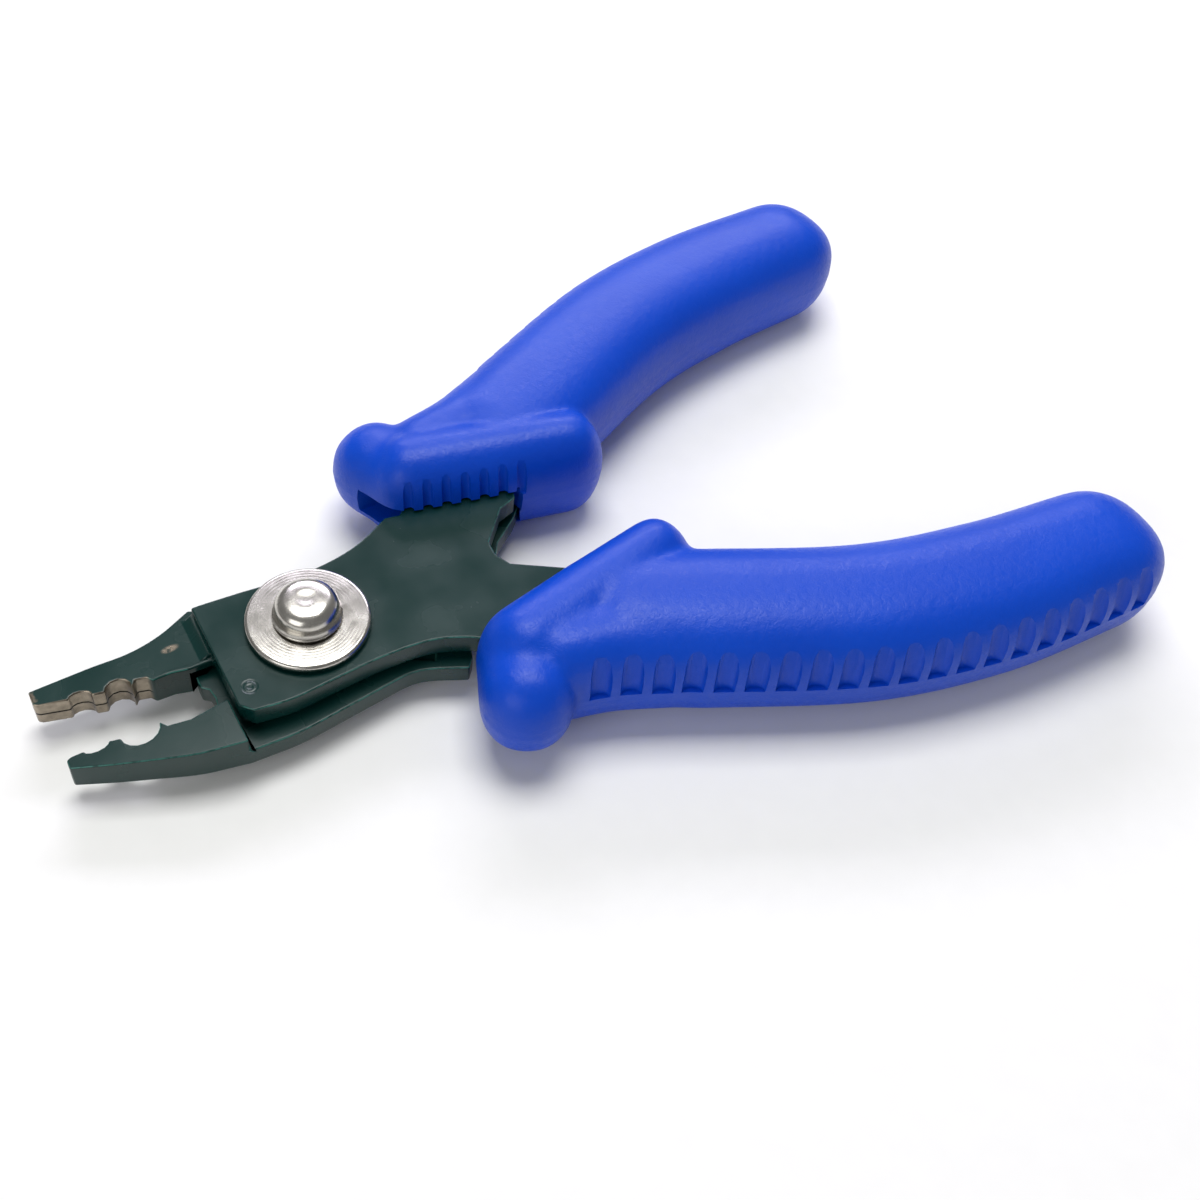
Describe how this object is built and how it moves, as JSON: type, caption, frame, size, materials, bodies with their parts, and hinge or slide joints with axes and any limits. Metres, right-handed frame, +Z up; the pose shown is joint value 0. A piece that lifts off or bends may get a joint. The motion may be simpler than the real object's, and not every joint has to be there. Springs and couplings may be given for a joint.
{
  "type": "crimping pliers",
  "caption": "Compact spring-opening crimping pliers with notched jaws for closing crimp beads on jewellery wire, with moulded plastic grips.",
  "frame": {"origin": "on the resting plane, below the middle of the bounding box", "axes": "+X from the jaws to the handles, +Y to the far handle (the one on the lower half), +Z up along the rivet"},
  "size_m": [0.1137, 0.0706, 0.0137],
  "materials": {
    "painted_steel": "glossy dark green enamel on stamped steel, worn to bare steel at the far jaw's edge",
    "bright_steel": "bright turned nickel-plated steel",
    "spring_wire": "drawn spring wire",
    "grip_plastic": "satin blue moulded plastic with a fine grain"
  },
  "bodies": {
    "lower_body": {"lower_half": "painted_steel", "far_grip": "grip_plastic", "pivot_rivet": "bright_steel", "top_washer": "bright_steel", "spacer_washer": "bright_steel", "bottom_washer": "bright_steel", "return_spring": "spring_wire"},
    "upper_body": {"upper_half": "painted_steel", "near_grip": "grip_plastic"}
  },
  "joints": [
    {"name": "jaw_pivot", "type": "hinge", "parent": "lower_body", "child": "upper_body", "pos_m": [-0.02875, 0, 0.005], "axis": [0, 0, 1], "range_deg": [0, 14.3], "stiffness_Nm_per_rad": 0.2, "springref_deg": -20.05, "deforming": ["return_spring"]}
  ]
}
